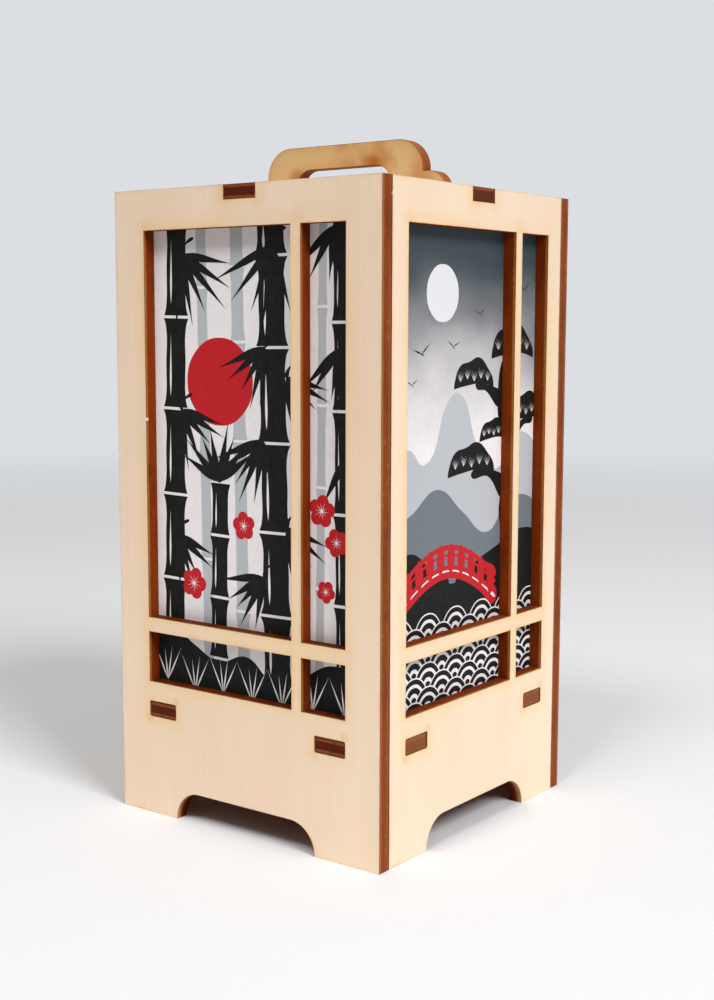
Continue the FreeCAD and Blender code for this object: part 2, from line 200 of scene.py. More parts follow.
def newMaterial(name, roughness, specular):
    material = bpy.data.materials.new(name)
    material.use_nodes = True
    shader = material.node_tree.nodes["Principled BSDF"]
    shader.inputs["Roughness"].default_value = roughness
    shader.inputs["Specular IOR Level"].default_value = specular
    return material, material.node_tree, shader


def paint(shader, color):
    feed(shader.inputs["Base Color"], color)


def bumpInto(shader, height, strength, distance):
    bump = addNode(height.id_data, "Bump")
    bump.inputs["Strength"].default_value = strength
    bump.inputs["Distance"].default_value = distance
    feed(bump.inputs["Height"], height)
    feed(shader.inputs["Normal"], bump.outputs[0])


def blendShaders(output, factor, first, second):
    tree = factor.id_data
    mix = addNode(tree, "MixShader")
    feedAll(mix.inputs, (factor, first, second))
    feed(tree.nodes[output].inputs["Surface"], mix.outputs[0])


def sheetPlace(tree, turn, shift):
    # x across the sheet, y down from its outer face, z along the grain
    mapping = addNode(tree, "Mapping")
    mapping.inputs["Rotation"].default_value = [math.radians(angle) for angle in turn]
    mapping.inputs["Location"].default_value = shift
    feed(mapping.inputs["Vector"], objectPlace(tree))
    return mapping.outputs[0]


# Camera: placed by the lamp's own corners in the photograph
cameraView = {
    "place": (292.04 * mm, -384.44 * mm, 159.12 * mm),
    "azimuth": 36.796, "elevation": 6.893, "roll": -0.155,
    "lens": 52.751, "sensor": 36,    # the sensor's long side stands up
    "nearClip": 0.01,
}


def addCamera(view):
    turn, rise, roll = (math.radians(view[key]) for key in ("azimuth", "elevation", "roll"))
    right = Vector((math.cos(turn), math.sin(turn), 0))
    back = Vector((math.sin(turn) * math.cos(rise), -math.cos(turn) * math.cos(rise), math.sin(rise)))
    up = back.cross(right)
    rolledRight = math.cos(roll) * right - math.sin(roll) * up
    rolledUp = math.sin(roll) * right + math.cos(roll) * up
    deselectAll()
    bpy.ops.object.camera_add()
    camera = bpy.context.object
    turned = Matrix((rolledRight, rolledUp, back)).transposed().to_4x4()
    camera.matrix_world = Matrix.Translation(view["place"]) @ turned
    camera.data.lens = view["lens"]
    camera.data.sensor_width = view["sensor"]
    camera.data.clip_start = view["nearClip"]
    scene.camera = camera


addCamera(cameraView)
print("camera placed")

# Stage: pale floor, even sky and two soft lamps
stageLook = {
    "floorRadius": 8.0, "floorSides": 96, "floorRoughness": 0.7, "floorSpecular": 0.2,
    "floorSeen": srgb(228, 230, 232), "floorColor": srgb(250, 250, 249),
    "floorFar": srgb(128, 128, 128), "nearReach": 0.15, "farReach": 0.85,    # light thrown up fades
    "paleColor": srgb(219, 223, 227), "fadeFrom": 0.45, "fadeTo": 1.5,
    "skyColor": (1.0, 0.965, 0.94, 1), "skyFoot": 0.15, "skyHigh": 0.68,
    "lamps": {
        "keyLamp": {"place": (1.6, -0.5, 1.5), "size": 0.8, "power": 37.6, "color": (0.985, 0.98, 1.0)},
        "fillLamp": {"place": (0.1, -0.85, 1.4), "size": 0.4, "power": 8.2, "color": (1.0, 0.97, 0.94)},
    },
}


def seenRays(tree):
    path = addNode(tree, "LightPath").outputs
    seen = mathNode("MAXIMUM", path["Is Camera Ray"], path["Is Glossy Ray"])
    return mathNode("MAXIMUM", seen, path["Is Transmission Ray"])


def addFloor(look):
    deselectAll()
    sides, radius = look["floorSides"], look["floorRadius"]
    bpy.ops.mesh.primitive_circle_add(vertices=sides, radius=radius, fill_type="NGON")
    floor = bpy.context.object
    floor.name = "floor"
    material, tree, shader = newMaterial("paleFloor", look["floorRoughness"], look["floorSpecular"])
    distance = vectorNode("LENGTH", objectPlace(tree))
    fading = rangeNode(distance, look["nearReach"], look["farReach"])
    bounce = mixNode(fading, look["floorColor"], look["floorFar"])
    paint(shader, mixNode(seenRays(tree), bounce, look["floorSeen"]))
    glow = addNode(tree, "Emission")
    glow.inputs["Color"].default_value = look["paleColor"]
    far = times(rangeNode(distance, look["fadeFrom"], look["fadeTo"]), seenRays(tree))
    blendShaders("Material Output", far, shader.outputs[0], glow.outputs[0])
    floor.data.materials.append(material)


def addLight(look):
    world = bpy.data.worlds.new("paleStudio")
    scene.world = world
    world.use_nodes = True
    tree = world.node_tree
    sky = tree.nodes["Background"]
    sky.inputs["Color"].default_value = look["skyColor"]
    height = axesOf(addNode(tree, "TexCoord").outputs["Generated"])["Z"]
    feed(sky.inputs["Strength"], rangeNode(height, look["skyFoot"], 1.0, 0.0, look["skyHigh"]))
    pale = addNode(tree, "Background")
    pale.inputs["Color"].default_value = look["paleColor"]
    blendShaders("World Output", seenRays(tree), sky.outputs[0], pale.outputs[0])
    middle = (cadLow + cadHigh) / 2
    for name, settings in look["lamps"].items():
        aim = (middle - Vector(settings["place"])).to_track_quat("-Z", "Y")
        bpy.ops.object.light_add(type="AREA", location=settings["place"], rotation=aim.to_euler())
        lamp = bpy.context.object
        lamp.name = name
        lamp.data.size = settings["size"]
        lamp.data.energy = settings["power"]
        lamp.data.color = settings["color"]


addFloor(stageLook)
addLight(stageLook)
scene.view_settings.view_transform = "Standard"
print("stage lit")

# Plywood: pale linden faces, charred laser-cut edges
def plyTones(core, skin, soot, pale):
    return {"core": srgb(*core), "skin": srgb(*skin), "soot": srgb(*soot), "pale": srgb(*pale)}


linden = {
    "pale": srgb(242, 220, 194), "deep": srgb(236, 211, 183), "fleck": srgb(220, 190, 156), "fleckShare": 0.4,
    "smoke": srgb(238, 206, 160), "smokeReach": 5 * mm, "smokeFrom": "Smoky",
    "scorch": srgb(226, 176, 116), "scorchReach": 1.8 * mm, "haze": 0.52,
    "burn": srgb(170, 104, 50), "line": 0.35, "spots": (), "roughness": 0.55, "specular": 0.25,
    "inner": srgb(192, 114, 64), "innerSmokeAndShadeLow": 0.85, "innerSmokeAndShadeHigh": 0.85,    # the hidden side: a painted brown shade at high shares, a light smoke tone at low ones
}
lindenLid = {**linden, "innerSmokeAndShadeLow": 0.12, "innerSmokeAndShadeHigh": 0.12}
lindenSide = {    # burns where the laser started and turned: across, up, reach and strength
    # the hidden side: painted shade below the shelf, a light smoke tone above it
    **linden, "innerSmokeAndShadeHigh": 0.12,
    "spots": ((-39.8, 31.6, 3.2, 0.5), (-28.4, 38.4, 3.0, 0.42), (28.4, 31.6, 2.6, 0.3),
              (39.4, 38.6, 3.0, 0.4), (-39.0, 189.0, 4.5, 0.28), (21.5, 189.0, 4.5, 0.25),
              (6.5, 195.0, 3.0, 0.22)),
}
smokedTan = {    # the handle's sheet has taken more smoke, most where the laser turned
    **linden, "pale": srgb(218, 188, 138), "deep": srgb(209, 174, 122), "fleck": srgb(190, 148, 95),
    "smoke": srgb(207, 169, 111), "smokeFrom": "Distance", "scorch": srgb(173, 101, 34),
    "scorchReach": 2.2 * mm, "haze": 0.6, "burn": srgb(136, 70, 25), "line": 0.4,
    "innerSmokeAndShadeLow": 0.0, "innerSmokeAndShadeHigh": 0.0, "roughness": 0.5,
    "spots": ((12.5, 209.5, 10, 1.0), (-18, 205.5, 7, 0.85), (0, 216.5, 5.5, 0.4), (30, 205.5, 8, 0.5),
              (3, 208.5, 9, 0.4), (-32, 203, 6, 0.35)),
}
plainEdge = {
    "sootShare": 0.35, "paleShare": 0.35, "innerShade": 0.0, "archPaintedShade": 0.0, "footSkin": srgb(176, 130, 92),
    "nubs": (), "roughness": 0.6, "specular": 0.1,
}
charred = {    # nubs: where a sliver held the piece while it was cut, across and up
    **plainEdge, **plyTones((132, 60, 21), (153, 98, 56), (80, 34, 14), (170, 102, 60)),
    "sootShare": 0.45, "paleShare": 0.5, "innerShade": 0.65, "nubs": ((-47.75, 194.9),),
}
charredShadedCut = {    # charred, and painted darker as shade in the windows' recesses, most at the paper; the arches' walls darkest, with painted shade
    **plainEdge, **plyTones((125, 49, 9), (160, 100, 54), (59, 17, 3), (144, 71, 23)),
    "sootShare": 0.5, "innerShade": 1.0, "archPaintedShade": 0.85, "nubs": ((-39.75, 128.6),),
    "roughness": 0.65, "specular": 0.05,
}
shadedSill = {    # the front and back windows' sills are darker still: painted shade
    **charredShadedCut, **plyTones((90, 33, 5), (115, 71, 37), (41, 9, 2), (104, 50, 14)),
    "archPaintedShade": 0.0, "nubs": (),
}
endGrain = {    # the boards' tabs at front and back
    **plainEdge, **plyTones((82, 28, 10), (132, 70, 36), (48, 16, 6), (110, 52, 26)), "specular": 0.08,
}
sideGrain = {    # and at the shelf's sides
    **plainEdge, **plyTones((130, 74, 43), (142, 86, 50), (76, 36, 18), (150, 92, 58)), "innerShade": 0.4,
}
sideGrainDark = {    # and at the lid's
    **plainEdge, **plyTones((88, 42, 20), (134, 76, 44), (52, 22, 10), (116, 62, 34)),
    "innerShade": 1.0, "specular": 0.08,
}
toastedEdge = {    # the handle's outline
    **plainEdge, **plyTones((148, 76, 31), (158, 91, 42), (92, 40, 14), (170, 103, 53)),
    "sootShare": 0.5, "roughness": 0.55, "specular": 0.15,
}
toastedGripShaded = {    # and under its grip: darker, a painted shade on the walls that face down and sideways
    **plainEdge, **plyTones((112, 52, 20), (126, 64, 28), (66, 26, 10), (140, 76, 36)),
    "sootShare": 0.5, "roughness": 0.55, "specular": 0.12,
}
plyBuild = {
    "sheet": 4.5 * mm, "skinPly": 1.0 * mm, "plyWander": 0.5 * mm, "plyBlur": 0.15 * mm,
    "innerBlur": 0.2 * mm, "glueReach": 0.22 * mm, "rimBurn": 0.3 * mm,
    "burnReach": 0.3 * mm, "nubSize": 0.3 * mm,
    # the next line: the hidden side's painted shade fades out above the shelf between its first two heights,
    # and the arches' painted shade comes in between its last two
    "shelfShadeFrom": 22 * mm, "shelfShadeTo": 60 * mm, "archHigh": 15 * mm, "archLow": 8 * mm,
    "grainBump": (0.25, 0.05 * mm), "charBump": (0.4, 0.08 * mm),
}
noiseScale = {    # features to the metre
    "fine": 1500, "streak": 420, "broad": 38, "dash": 1900, "fleckPatch": 60, "scorchPatch": 55, "drift": 40,
    "burnLine": 300, "puffEdge": 110, "plyEdge": 700, "soot": 190, "paleBurn": 480, "charRough": 1600,
}
onFace = (1, 0, 1)               # leaves out the depth
panelCuts = {    # middle, half size and corner of each cut in a side, across and up
    "wideHigh": ((-10.125, 126.175), (29.625, 61.325), 0), "narrowHigh": ((31.5, 126.175), (8.25, 61.325), 0),
    "wideLow": ((-10.125, 52.0), (29.625, 8.2), 0), "narrowLow": ((31.5, 52.0), (8.25, 8.2), 0),
    "leftSlot": ((-34.0, 34.85), (5.75, 2.55), 0.6), "rightSlot": ((34.0, 34.85), (5.75, 2.55), 0.6),
    "lidNotch": ((0, 200.0), (6.3, 4.5), 0), "arch": ((0, 0), (28.25, 9.6), 9.4),
}
boardPlate = ((0, 0), (47.6, 48.0), 0)
sheetShapes = {    # outline and cuts of each kind of sheet
    "wideSide": ({"sheet": ((0, 100), (52.25, 100), 0)}, panelCuts),
    "narrowSide": ({"sheet": ((0, 100), (47.75, 100), 0)}, panelCuts),
    "shelfBoard": ({"plate": boardPlate,
                    "leftTabs": ((-34, 0), (5.45, 52.35), 0), "rightTabs": ((34, 0), (5.45, 52.35), 0),
                    "nearTabs": ((0, -34), (51.95, 5.45), 0), "farTabs": ((0, 34), (51.95, 5.45), 0)},
                   {"fingerHole": ((0, 0), (16, 16), 16)}),
    "lidBoard": ({"plate": boardPlate,
                  "frontBackTabs": ((0, 0), (6.15, 52.35), 0), "sideTabs": ((0, 0), (51.95, 6.15), 0)},
                 {"leftMortise": ((-25.1, 0), (4.15, 2.4), 0), "rightMortise": ((25.1, 0), (4.15, 2.4), 0)}),
    "handleBow": ({"bar": ((0, 200), (31.3, 16.1), 9.4), "lobes": ((0, 200), (39.5, 5.9), 5.7)},
                  {"grip": ((0, 200), (18.9, 8.7), 5.7)}),
}


def makeGrainGroup():
    tree, given, out = newGroup("lindenGrain", "Vector", "Tone Fleck Height")

    def grainNoise(kind, squeeze, *detail):
        return noiseNode(stretched(given["Vector"], (1, 1, squeeze)), noiseScale[kind], *detail)

    fine = grainNoise("fine", 0.018, 3.0, 0.6)
    streak = grainNoise("streak", 0.05, 3.0, 0.55)
    broad = grainNoise("broad", 0.3)
    tone = mathNode("MULTIPLY_ADD", fine, 0.36, times(streak, 0.22))
    tone = mathNode("MULTIPLY_ADD", broad, 0.7, tone)
    feed(out["Tone"], rangeNode(tone, 0.4, 0.88))
    fleck = rangeNode(grainNoise("dash", 0.11, 1.0), 0.66, 0.76)
    patch = noiseNode(given["Vector"], noiseScale["fleckPatch"], 1.0)
    feed(out["Fleck"], times(fleck, rangeNode(patch, 0.42, 0.62)))
    feed(out["Height"], mathNode("SUBTRACT", mathNode("ADD", fine, streak), fleck))
    return tree


def roundedBox(spot, middle, half, corner):
    # distance on a face to a round-cornered rectangle, below zero inside it
    reach = vectorNode("SUBTRACT", spot, (middle[0] * mm, 0, middle[1] * mm))
    reach = vectorNode("ABSOLUTE", stretched(reach, onFace))
    reach = vectorNode("SUBTRACT", reach, ((half[0] - corner) * mm, 0, (half[1] - corner) * mm))
    outside = vectorNode("LENGTH", vectorNode("MAXIMUM", reach, (0, 0, 0)))
    sides = axesOf(reach)
    inside = mathNode("MINIMUM", mathNode("MAXIMUM", sides["X"], sides["Z"]), 0.0)
    return mathNode("SUBTRACT", mathNode("ADD", outside, inside), corner * mm)


def makeCutGroup(name, outline, cuts):
    # distance on a face to the sheet's edge or the nearest cut through it, and to the nearest smoky cut
    tree, given, out = newGroup(name, "Vector", "Distance Smoky")

    def nearest(found, boxes):
        for box in boxes:
            side = roundedBox(given["Vector"], *box)
            found = mathNode("MINIMUM", found, side) if found else side
        return found

    edge = times(nearest(None, outline.values()), -1.0)
    smoky = nearest(None, [box for cut, box in cuts.items() if cut != "arch"])
    arches = [box for cut, box in cuts.items() if cut == "arch"]
    whole = nearest(mathNode("MINIMUM", edge, smoky), arches)
    feed(out["Distance"], mathNode("MAXIMUM", whole, 0.0))
    feed(out["Smoky"], mathNode("MAXIMUM", smoky, 0.0))
    return tree


def makeScorchGroup():
    tree, given, out = newGroup("laserScorch", "Vector Distance Smoky Reach SmokeReach",
                                "Smoke Drift Haze Line")

    def patchy(kind, *span):
        return rangeNode(noiseNode(given["Vector"], noiseScale[kind]), *span)

    def fading(distance, reach):
        return mathNode("SUBTRACT", 1.0, mathNode("DIVIDE", distance, reach), clamp=True)

    haze = mathNode("POWER", fading(given["Distance"], given["Reach"]), 2.0)
    feed(out["Haze"], times(haze, patchy("scorchPatch", 0.42, 0.72)))
    drift = patchy("drift", 0.3, 0.65, 0.3, 1.0)
    feed(out["Smoke"], times(fading(given["Smoky"], given["SmokeReach"]), drift))
    feed(out["Drift"], drift)
    uneven = patchy("burnLine", 0.3, 0.7, 0.5, 1.4)
    feed(out["Line"], fading(given["Distance"], times(uneven, plyBuild["burnReach"])))
    return tree


def distanceFrom(given):
    away = vectorNode("SUBTRACT", given["Vector"], given["Middle"])
    return vectorNode("LENGTH", stretched(away, onFace))


def makePuffGroup():
    # a round breath of smoke with a wandering edge
    tree, given, out = newGroup("smokePuff", "Vector Middle Reach", "Haze")
    wander = noiseNode(given["Vector"], noiseScale["puffEdge"])
    reach = times(given["Reach"], rangeNode(wander, 0.25, 0.75, 0.55, 1.35))
    near = mathNode("DIVIDE", distanceFrom(given), reach)
    feed(out["Haze"], rangeNode(near, 1.0, 0.0))
    return tree


def makeNubGroup():
    # a spot on the outer ply that the laser left pale
    tree, given, out = newGroup("uncutNub", "Vector Middle", "Bare")
    near = rangeNode(distanceFrom(given), plyBuild["nubSize"] * 2, plyBuild["nubSize"])
    depth = axesOf(given["Vector"])["Y"]
    outer = rangeNode(depth, plyBuild["skinPly"] * 1.2, plyBuild["skinPly"] * 0.8)
    feed(out["Bare"], times(near, outer))
    return tree


def makeCharGroup():
    tree, given, out = newGroup("charredPlies", "Vector InnerShade", "Core Soot Pale Height")
    spot = given["Vector"]
    sheet, blur, rim = plyBuild["sheet"], plyBuild["plyBlur"], plyBuild["rimBurn"]
    innerPly = sheet - plyBuild["skinPly"]
    core = sheet / 2 - plyBuild["skinPly"]
    wander = mathNode("SUBTRACT", noiseNode(spot, noiseScale["plyEdge"]), 0.5)
    depth = mathNode("MULTIPLY_ADD", wander, plyBuild["plyWander"], axesOf(spot)["Y"])
    fromMiddle = mathNode("ABSOLUTE", mathNode("SUBTRACT", depth, sheet / 2))
    inCore = rangeNode(fromMiddle, core + blur, core - blur)
    inner = rangeNode(depth, innerPly - plyBuild["innerBlur"], innerPly, 0.0, given["InnerShade"])
    feed(out["Core"], mathNode("MAXIMUM", inCore, inner))
    fromGlue = mathNode("ABSOLUTE", mathNode("SUBTRACT", fromMiddle, core))
    glue = rangeNode(fromGlue, plyBuild["glueReach"], 0.0)
    smoke = noiseNode(stretched(spot, (1, 1, 0.3)), noiseScale["soot"], 3.0, 0.6)
    soot = mathNode("MULTIPLY_ADD", glue, 0.4, rangeNode(smoke, 0.46, 0.76))
    outerRim, innerRim = rangeNode(depth, rim, 0.0), rangeNode(depth, sheet - rim, sheet)
    burnt = mathNode("MAXIMUM", outerRim, innerRim)
    feed(out["Soot"], mathNode("ADD", soot, burnt, clamp=True))
    feed(out["Pale"], rangeNode(noiseNode(spot, noiseScale["paleBurn"]), 0.56, 0.78))
    rough = noiseNode(spot, noiseScale["charRough"], 3.0)
    feed(out["Height"], mathNode("SUBTRACT", rough, glue))
    return tree


grainGroup, scorchGroup = makeGrainGroup(), makeScorchGroup()
puffGroup, charGroup, nubGroup = makePuffGroup(), makeCharGroup(), makeNubGroup()
cutGroups = {name: makeCutGroup(name + "Cut", *shape) for name, shape in sheetShapes.items()}


def lindenFace(name, place, look):
    tones = look["face"]
    material, tree, shader = newMaterial(name, tones["roughness"], tones["specular"])
    spot = sheetPlace(tree, *place)
    along = addNode(tree, "Mapping")
    along.inputs["Rotation"].default_value = (0, math.radians(look["grainTurn"]), 0)
    feed(along.inputs["Vector"], spot)
    grain = useGroup(tree, grainGroup, Vector=along.outputs[0])
    color = mixNode(grain["Tone"], tones["deep"], tones["pale"])
    color = tint(color, tones["fleck"], grain["Fleck"], tones["fleckShare"])
    cut = useGroup(tree, cutGroups[look["shape"]], Vector=spot)
    scorch = useGroup(tree, scorchGroup, Vector=spot, Distance=cut["Distance"], Smoky=cut[tones["smokeFrom"]],
                      Reach=tones["scorchReach"], SmokeReach=tones["smokeReach"])
    color = mixNode(scorch["Smoke"], color, tones["smoke"])
    # the hidden side takes the inner tone: painted shade below the shelf and under the shelf board, a light
    # smoke tone elsewhere
    axes = axesOf(spot)
    inner = rangeNode(axes["Y"], plyBuild["sheet"] * 0.4, plyBuild["sheet"] * 0.6)
    share = rangeNode(axes["Z"], plyBuild["shelfShadeFrom"], plyBuild["shelfShadeTo"],
                      tones["innerSmokeAndShadeLow"], tones["innerSmokeAndShadeHigh"])
    smokeAndShade = times(share, rangeNode(scorch["Drift"], 0.3, 1.0, 0.86, 1.0))
    color = tint(color, tones["inner"], inner, smokeAndShade)
    haze = times(scorch["Haze"], tones["haze"])
    for across, up, reach, strength in tones["spots"]:
        puff = useGroup(tree, puffGroup, Vector=spot, Middle=(across * mm, 0, up * mm), Reach=reach * mm)
        haze = mathNode("MAXIMUM", haze, times(puff["Haze"], strength))
    color = mixNode(haze, color, tones["scorch"])
    paint(shader, tint(color, tones["burn"], scorch["Line"], tones["line"]))
    bumpInto(shader, grain["Height"], *plyBuild["grainBump"])
    return material


def charredEdge(name, place, tones):
    material, tree, shader = newMaterial(name, tones["roughness"], tones["specular"])
    spot = sheetPlace(tree, *place)
    plies = useGroup(tree, charGroup, Vector=spot, InnerShade=tones["innerShade"])
    color = mixNode(plies["Core"], tones["skin"], tones["core"])
    color = tint(color, tones["pale"], plies["Pale"], tones["paleShare"])
    color = tint(color, tones["soot"], plies["Soot"], tones["sootShare"])
    if tones["archPaintedShade"]:       # the arches' walls are pale by the outer face, and painted shade in the soot tone further in
        axes, skin = axesOf(spot), plyBuild["skinPly"]
        foot = rangeNode(axes["Z"], plyBuild["archHigh"], plyBuild["archLow"])
        outer = rangeNode(axes["Y"], skin * 0.6, skin * 2.2, 0.9, 0.0)
        color = tint(color, tones["footSkin"], foot, outer)
        archShadeInward = rangeNode(axes["Y"], skin * 1.4, plyBuild["sheet"] * 0.7, 0.0, tones["archPaintedShade"])
        color = tint(color, tones["soot"], foot, archShadeInward)
    for across, up in tones["nubs"]:
        nub = useGroup(tree, nubGroup, Vector=spot, Middle=(across * mm, 0, up * mm))
        color = mixNode(nub["Bare"], color, linden["pale"])
    paint(shader, color)
    bumpInto(shader, plies["Height"], *plyBuild["charBump"])
    return material


sheetLook = {
    "softEdge": 0.12 * mm, "bevelAbove": 40, "smoothBelow": 35, "weld": 0.001 * mm, "flatWithin": 0.5,
    "rim": 1 * mm, "gripHalf": 19.2 * mm,
}
sidePanel = {
    "face": lindenSide, "edges": (charred, charredShadedCut), "slot": "plywood", "grainTurn": 0,
    "shape": "narrowSide",
}
widePanel = {**sidePanel, "edges": (charred, charredShadedCut, shadedSill), "body": "case", "shape": "wideSide"}
board = {"slot": "plywood", "grainTurn": 0, "turn": (90, 0, 0), "outer": "high z"}
plySheets = {    # turn brings a sheet to face the front; outer is where its outer face is
    "front_panel": {**widePanel, "turn": (0, 0, 0), "outer": "low y"},
    "right_panel": {**sidePanel, "body": "case", "turn": (0, 0, -90), "outer": "high x"},
    "back_panel": {**widePanel, "turn": (0, 0, 180), "outer": "high y"},
    "left_panel": {**sidePanel, "body": "loose_panel", "turn": (0, 0, 90), "outer": "low x"},
    "shelf": {**board, "face": linden, "edges": (endGrain, sideGrain), "body": "case", "shape": "shelfBoard"},
    "lid": {**board, "face": lindenLid, "edges": (endGrain, sideGrainDark),
            "body": "lid", "shape": "lidBoard"},
    "handle": {"face": smokedTan, "edges": (toastedEdge, toastedGripShaded), "slot": "handle_plywood",
               "grainTurn": 90, "body": "lid", "turn": (0, 0, 0), "outer": "low y", "shape": "handleBow"},
}


def copyNode(nodeName, pieceName):
    piece = bpy.data.objects.new(pieceName, nodes[nodeName].data.copy())
    scene.collection.objects.link(piece)
    editAll(piece)
    bpy.ops.mesh.customdata_custom_splitnormals_clear()
    bpy.ops.mesh.remove_doubles(threshold=sheetLook["weld"])
    deselectAll()
    return piece


def soften(piece, width, above):
    editAll(piece)
    bpy.ops.mesh.dissolve_limited(angle_limit=math.radians(sheetLook["flatWithin"]))
    addModifier(piece, "BEVEL", width=width, segments=2, limit_method="ANGLE",
                angle_limit=math.radians(above))


# Which edges take the second finish
def awayFromRim(polygon, low, high):
    rim = sheetLook["rim"]
    across = "x" if high.x - low.x > high.y - low.y else "y"
    spot = polygon.center
    inside = getattr(low, across) + rim < getattr(spot, across) < getattr(high, across) - rim
    upright = abs(polygon.normal.z) < 0.9
    return inside and (upright or low.z + rim < spot.z < high.z - rim)


def underGrip(polygon, low, high):
    return abs(polygon.center.x) < sheetLook["gripHalf"] and polygon.normal.z < 0.5


def facesSide(polygon, low, high):
    return abs(polygon.normal.x) > 0.7


secondFinish = {"wideSide": awayFromRim, "narrowSide": awayFromRim, "handleBow": underGrip,
                "shelfBoard": facesSide, "lidBoard": facesSide}


def dressSheet(nodeName, look):
    low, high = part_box(nodeName)
    end, axis = look["outer"].split()
    outer = -getattr(high, axis) if end == "high" else getattr(low, axis)
    place = (look["turn"], (0, -outer, 0))
    piece = copyNode(nodeName, nodeName + "_ply")
    soften(piece, sheetLook["softEdge"], sheetLook["bevelAbove"])
    piece.data.materials.clear()
    piece.data.materials.append(lindenFace(nodeName + "Face", place, look))
    for edgeName, tones in zip(("Edge", "Cut", "ShadedSill"), look["edges"]):
        piece.data.materials.append(charredEdge(nodeName + edgeName, place, tones))
    onSecond = secondFinish[look["shape"]]
    for polygon in piece.data.polygons:
        if abs(polygon.normal["xyz".index(axis)]) > 0.95:
            polygon.material_index = 0
        elif not onSecond(polygon, low, high):
            polygon.material_index = 1
        elif len(look["edges"]) > 2 and polygon.normal.z > 0.9:
            polygon.material_index = 3    # a front or back window's sill, in painted shade
        else:
            polygon.material_index = 2
    smoothBelow(piece, sheetLook["smoothBelow"])
    addModifier(piece, "WEIGHTED_NORMAL", keep_sharp=True, weight=100)
    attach(piece, look["body"])
    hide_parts(nodeName)


for nodeName, look in plySheets.items():
    dressSheet(nodeName, look)
print("plywood dressed")

# Papers: four sheets glued behind the panes, each with its own brush-and-cut style print
paperLook = {
    "flat": (87.5 * mm, 151.7 * mm), "grid": (14, 24), "thickness": 0.1 * mm, "margin": 1.5 * mm,
    "white": srgb(240, 236, 238), "shade": srgb(235, 231, 233), "roughness": 0.62, "specular": 0.2,
    "cloudScale": 420, "strandScale": 2600, "bump": (0.15, 0.02 * mm),
    "inkRoom": 0.145 * mm, "inkDepth": 0.008 * mm, "inkWeld": 0.00005 * mm, "inkShare": 0.985,
    "paperShows": 0.4, "inkRoughness": 0.55, "inkSpecular": 0.08, "inkBump": (0.12, 0.02 * mm),
    "skyTop": srgb(58, 70, 76), "skyFrom": 180 * mm, "skyTo": 118 * mm, "skyDrift": 26 * mm, "skyScale": 30,
    "tones": {"ink": srgb(22, 24, 23), "vermilion": srgb(192, 36, 42), "mist": srgb(186, 190, 195),
              "slate": srgb(112, 122, 128), "moon": srgb(228, 230, 233)},
}
papers = {
    "front_paper": {"body": "case", "turn": 0, "panel": "front_panel"},
    "right_paper": {"body": "case", "turn": 90, "panel": "right_panel"},
    "back_paper": {"body": "case", "turn": 180, "panel": "back_panel"},
    "left_paper": {"body": "loose_panel", "turn": 270, "panel": "left_panel"},
}


def makeFibreGroup():
    tree, given, out = newGroup("paperFibre", "Vector", "Cloud Height")
    cloud = noiseNode(given["Vector"], paperLook["cloudScale"], 3.0)
    feed(out["Cloud"], rangeNode(cloud, 0.3, 0.7))
    strand = noiseNode(stretched(given["Vector"], (1, 1, 0.25)), paperLook["strandScale"])
    feed(out["Height"], mathNode("MULTIPLY_ADD", cloud, 0.6, strand))
    return tree


fibreGroup = makeFibreGroup()


def paperFinish(name, sky):
    material, tree, shader = newMaterial(name, paperLook["roughness"], paperLook["specular"])
    place = objectPlace(tree)
    fibre = useGroup(tree, fibreGroup, Vector=place)
    color = mixNode(fibre["Cloud"], paperLook["shade"], paperLook["white"])
    if sky:                      # night sky that thins to white mist
        drift = noiseNode(stretched(place, (1, 1, 1.6)), paperLook["skyScale"])
        height = mathNode("SUBTRACT", axesOf(place)["Z"], paperLook["skyDrift"] / 2)
        height = mathNode("MULTIPLY_ADD", drift, paperLook["skyDrift"], height)
        night = rangeNode(height, paperLook["skyTo"], paperLook["skyFrom"])
        color = mixNode(night, color, paperLook["skyTop"])
    paint(shader, color)
    bumpInto(shader, fibre["Height"], *paperLook["bump"])
    return material


def inkFinish(name, tone):
    material, tree, shader = newMaterial(name, paperLook["inkRoughness"], paperLook["inkSpecular"])
    fibre = useGroup(tree, fibreGroup, Vector=objectPlace(tree))
    share = paperLook["inkShare"]
    under = (1 - share) * paperLook["paperShows"]
    thin = [ink * share + paper * under for ink, paper in zip(tone, paperLook["white"])]
    paint(shader, mixNode(fibre["Cloud"], thin, tone))
    bumpInto(shader, fibre["Height"], *paperLook["inkBump"])
    return material


# Print motifs, in millimetres: each gives (tone, knots), a knot being (x, z, kind) or a point and two handles
def leaf(tone, x, z, angle, length, width):
    along = Vector((math.cos(math.radians(angle)), math.sin(math.radians(angle))))
    side = Vector((-along.y, along.x)) * width
    base = Vector((x, z))
    tip = base + along * length
    knots = [(base, base + along * length * 0.33 + side, base + along * length * 0.33 - side),
             (tip, tip - along * length * 0.5 - side * 0.2, tip - along * length * 0.5 + side * 0.2)]
    return [(tone, knots)]


def disc(tone, x, z, radius):
    angles = [math.pi * step / 4 for step in range(8)]
    knots = [(x + radius * math.cos(angle), z + radius * math.sin(angle), "smooth") for angle in angles]
    return [(tone, knots)]


def stroke(tone, points, startWidth, endWidth):
    # a brush stroke through the points, thinning from start to end
    path = [Vector(point) for point in points]
    left, right = [], []
    for step, point in enumerate(path):
        ahead = path[min(step + 1, len(path) - 1)] - path[max(step - 1, 0)]
        side = Vector((-ahead.y, ahead.x)).normalized()
        half = (startWidth + (endWidth - startWidth) * step / (len(path) - 1)) / 2
        left.append((*(point + side * half), "smooth"))
        right.append((*(point - side * half), "smooth"))
    return [(tone, left + right[::-1])]


